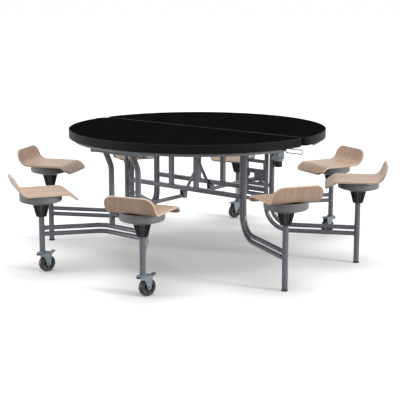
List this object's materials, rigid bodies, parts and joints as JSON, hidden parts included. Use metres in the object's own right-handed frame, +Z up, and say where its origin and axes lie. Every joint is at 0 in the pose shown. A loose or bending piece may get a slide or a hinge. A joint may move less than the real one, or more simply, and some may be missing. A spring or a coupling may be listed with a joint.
{
  "type": "table with attached swivel seats",
  "caption": "Round folding table in two halves with swivel plywood seats carried on its tubular steel frame, half of them on casters, half on plain feet.",
  "frame": {"origin": "on the floor below the centre of the round top", "axes": "+Z up; Y along the seam of the top; -X towards the front half"},
  "size_m": [2.2272, 2.1883, 0.762],
  "materials": {
    "top_laminate": "black laminate on board, satin",
    "edge_band": "dark grey edge band, satin",
    "silver_frame": "silver grey powder coat",
    "zinc": "bright zinc plate",
    "chrome_wire": "chromed wire",
    "plywood": "clear lacquered light veneer",
    "grey_plastic": "mid grey moulded plastic",
    "black_plastic": "black moulded plastic",
    "black_rubber": "black rubber",
    "wheel_rubber": "dark rubber tread on a moulded core"
  },
  "bodies": {
    "front_outer_frame": {"front_caster_rails": "silver_frame", "front_caster_cones": "black_plastic", "front_caster_legs": "silver_frame"},
    "front_inner_frame": {"front_inner_legs": "silver_frame", "front_plain_cones": "black_plastic", "front_feet": "black_rubber", "front_crossframe": "silver_frame"},
    "front_top": {"front_top_panel": "top_laminate", "front_edge_band": "edge_band", "front_underframe": "silver_frame", "front_pivot_pins": "zinc", "front_hinge_leaves": "zinc", "seam_hinge_pins": "zinc"},
    "front_link": {"front_link": "silver_frame"},
    "back_outer_frame": {"back_caster_rails": "silver_frame", "back_caster_cones": "black_plastic", "back_caster_legs": "silver_frame"},
    "back_inner_frame": {"back_inner_legs": "silver_frame", "back_plain_cones": "black_plastic", "back_feet": "black_rubber", "back_crossframe": "silver_frame", "latch_block": "silver_frame", "stop_bracket": "silver_frame", "rubber_stop": "black_rubber"},
    "back_top": {"back_top_panel": "top_laminate", "back_edge_band": "edge_band", "back_underframe": "silver_frame", "back_pivot_pins": "zinc", "back_hinge_leaves": "zinc"},
    "back_link": {"back_link": "silver_frame"},
    "latch_handle": {"latch_handle": "chrome_wire"},
    "seat_1": {"seat_1_shell": "plywood", "seat_1_hub": "grey_plastic"},
    "caster_1": {"caster_1_fork": "zinc"},
    "caster_1_wheel": {"caster_1_wheel": "wheel_rubber"},
    "caster_1_pedal": {"caster_1_pedal": "zinc"},
    "seat_2": {"seat_2_shell": "plywood", "seat_2_hub": "grey_plastic"},
    "seat_3": {"seat_3_shell": "plywood", "seat_3_hub": "grey_plastic"},
    "caster_3": {"caster_3_fork": "zinc"},
    "caster_3_wheel": {"caster_3_wheel": "wheel_rubber"},
    "caster_3_pedal": {"caster_3_pedal": "zinc"},
    "seat_4": {"seat_4_shell": "plywood", "seat_4_hub": "grey_plastic"},
    "seat_5": {"seat_5_shell": "plywood", "seat_5_hub": "grey_plastic"},
    "seat_6": {"seat_6_shell": "plywood", "seat_6_hub": "grey_plastic"},
    "caster_6": {"caster_6_fork": "zinc"},
    "caster_6_wheel": {"caster_6_wheel": "wheel_rubber"},
    "caster_6_pedal": {"caster_6_pedal": "zinc"},
    "seat_7": {"seat_7_shell": "plywood", "seat_7_hub": "grey_plastic"},
    "seat_8": {"seat_8_shell": "plywood", "seat_8_hub": "grey_plastic"},
    "caster_8": {"caster_8_fork": "zinc"},
    "caster_8_wheel": {"caster_8_wheel": "wheel_rubber"},
    "caster_8_pedal": {"caster_8_pedal": "zinc"}
  },
  "joints": [
    {"name": "fold", "type": "hinge", "parent": "front_outer_frame", "child": "front_top", "pos_m": [-0.684, 0, 0.69], "axis": [0, -1, 0], "range_deg": [0, 78]},
    {"name": "seam_fold", "type": "hinge", "parent": "front_top", "child": "back_top", "pos_m": [0, 0, 0.69], "axis": [0, 1, 0], "range_deg": [0, 156]},
    {"name": "back_outer_fold", "type": "hinge", "parent": "back_top", "child": "back_outer_frame", "pos_m": [0.684, 0, 0.69], "axis": [0, -1, 0], "range_deg": [0, 78]},
    {"name": "front_inner_fold", "type": "hinge", "parent": "front_top", "child": "front_inner_frame", "pos_m": [-0.128, 0, 0.69], "axis": [0, 1, 0], "range_deg": [0, 78]},
    {"name": "back_inner_fold", "type": "hinge", "parent": "back_top", "child": "back_inner_frame", "pos_m": [0.128, 0, 0.69], "axis": [0, -1, 0], "range_deg": [0, 78]},
    {"name": "front_link_swing", "type": "hinge", "parent": "front_outer_frame", "child": "front_link", "pos_m": [-0.684, 0, 0.365], "axis": [0, -1, 0], "range_deg": [0, 78]},
    {"name": "back_link_swing", "type": "hinge", "parent": "back_outer_frame", "child": "back_link", "pos_m": [0.684, 0, 0.365], "axis": [0, 1, 0], "range_deg": [0, 78]},
    {"name": "seat_1_swivel", "type": "hinge", "parent": "front_outer_frame", "child": "seat_1", "pos_m": [-0.91464, 0.37886, 0.45], "axis": [0, 0, 1], "continuous": true},
    {"name": "caster_1_swivel", "type": "hinge", "parent": "front_outer_frame", "child": "caster_1", "pos_m": [-0.91464, 0.37886, 0.1], "axis": [0, 0, 1], "continuous": true},
    {"name": "caster_1_roll", "type": "hinge", "parent": "caster_1", "child": "caster_1_wheel", "pos_m": [-0.88823, 0.37324, 0.0475], "axis": [0.2079, 0.9781, 0], "continuous": true},
    {"name": "caster_1_brake", "type": "hinge", "parent": "caster_1", "child": "caster_1_pedal", "pos_m": [-0.8853, 0.37262, 0.102], "axis": [0.2079, 0.9781, 0], "range_deg": [0, 9]},
    {"name": "seat_2_swivel", "type": "hinge", "parent": "front_inner_frame", "child": "seat_2", "pos_m": [-0.36948, 0.89201, 0.45], "axis": [0, 0, 1], "continuous": true},
    {"name": "seat_3_swivel", "type": "hinge", "parent": "front_outer_frame", "child": "seat_3", "pos_m": [-0.91464, -0.37886, 0.45], "axis": [0, 0, 1], "continuous": true},
    {"name": "caster_3_swivel", "type": "hinge", "parent": "front_outer_frame", "child": "caster_3", "pos_m": [-0.91464, -0.37886, 0.1], "axis": [0, 0, 1], "continuous": true},
    {"name": "caster_3_roll", "type": "hinge", "parent": "caster_3", "child": "caster_3_wheel", "pos_m": [-0.88823, -0.38447, 0.0475], "axis": [0.2079, 0.9781, 0], "continuous": true},
    {"name": "caster_3_brake", "type": "hinge", "parent": "caster_3", "child": "caster_3_pedal", "pos_m": [-0.8853, -0.38509, 0.102], "axis": [0.2079, 0.9781, 0], "range_deg": [0, 9]},
    {"name": "seat_4_swivel", "type": "hinge", "parent": "front_inner_frame", "child": "seat_4", "pos_m": [-0.36948, -0.89201, 0.45], "axis": [0, 0, 1], "continuous": true},
    {"name": "seat_5_swivel", "type": "hinge", "parent": "back_inner_frame", "child": "seat_5", "pos_m": [0.36948, -0.89201, 0.45], "axis": [0, 0, 1], "continuous": true},
    {"name": "seat_6_swivel", "type": "hinge", "parent": "back_outer_frame", "child": "seat_6", "pos_m": [0.91464, -0.37886, 0.45], "axis": [0, 0, 1], "continuous": true},
    {"name": "caster_6_swivel", "type": "hinge", "parent": "back_outer_frame", "child": "caster_6", "pos_m": [0.91464, -0.37886, 0.1], "axis": [0, 0, 1], "continuous": true},
    {"name": "caster_6_roll", "type": "hinge", "parent": "caster_6", "child": "caster_6_wheel", "pos_m": [0.88823, -0.37324, 0.0475], "axis": [-0.2079, -0.9781, 0], "continuous": true},
    {"name": "caster_6_brake", "type": "hinge", "parent": "caster_6", "child": "caster_6_pedal", "pos_m": [0.8853, -0.37262, 0.102], "axis": [-0.2079, -0.9781, 0], "range_deg": [0, 9]},
    {"name": "seat_7_swivel", "type": "hinge", "parent": "back_inner_frame", "child": "seat_7", "pos_m": [0.36948, 0.89201, 0.45], "axis": [0, 0, 1], "continuous": true},
    {"name": "seat_8_swivel", "type": "hinge", "parent": "back_outer_frame", "child": "seat_8", "pos_m": [0.91464, 0.37886, 0.45], "axis": [0, 0, 1], "continuous": true},
    {"name": "caster_8_swivel", "type": "hinge", "parent": "back_outer_frame", "child": "caster_8", "pos_m": [0.91464, 0.37886, 0.1], "axis": [0, 0, 1], "continuous": true},
    {"name": "caster_8_roll", "type": "hinge", "parent": "caster_8", "child": "caster_8_wheel", "pos_m": [0.88823, 0.38447, 0.0475], "axis": [-0.2079, -0.9781, 0], "continuous": true},
    {"name": "caster_8_brake", "type": "hinge", "parent": "caster_8", "child": "caster_8_pedal", "pos_m": [0.8853, 0.38509, 0.102], "axis": [-0.2079, -0.9781, 0], "range_deg": [0, 9]},
    {"name": "latch_shoot", "type": "slide", "parent": "back_inner_frame", "child": "latch_handle", "axis": [0, 1, 0], "range_m": [0, 0.015]}
  ],
  "couplings": [
    {"joint": "seam_fold", "follows": "fold", "ratio": 2},
    {"joint": "back_outer_fold", "follows": "fold", "ratio": 1},
    {"joint": "front_inner_fold", "follows": "fold", "ratio": 1},
    {"joint": "back_inner_fold", "follows": "fold", "ratio": 1},
    {"joint": "front_link_swing", "follows": "fold", "ratio": 1},
    {"joint": "back_link_swing", "follows": "fold", "ratio": 1}
  ]
}
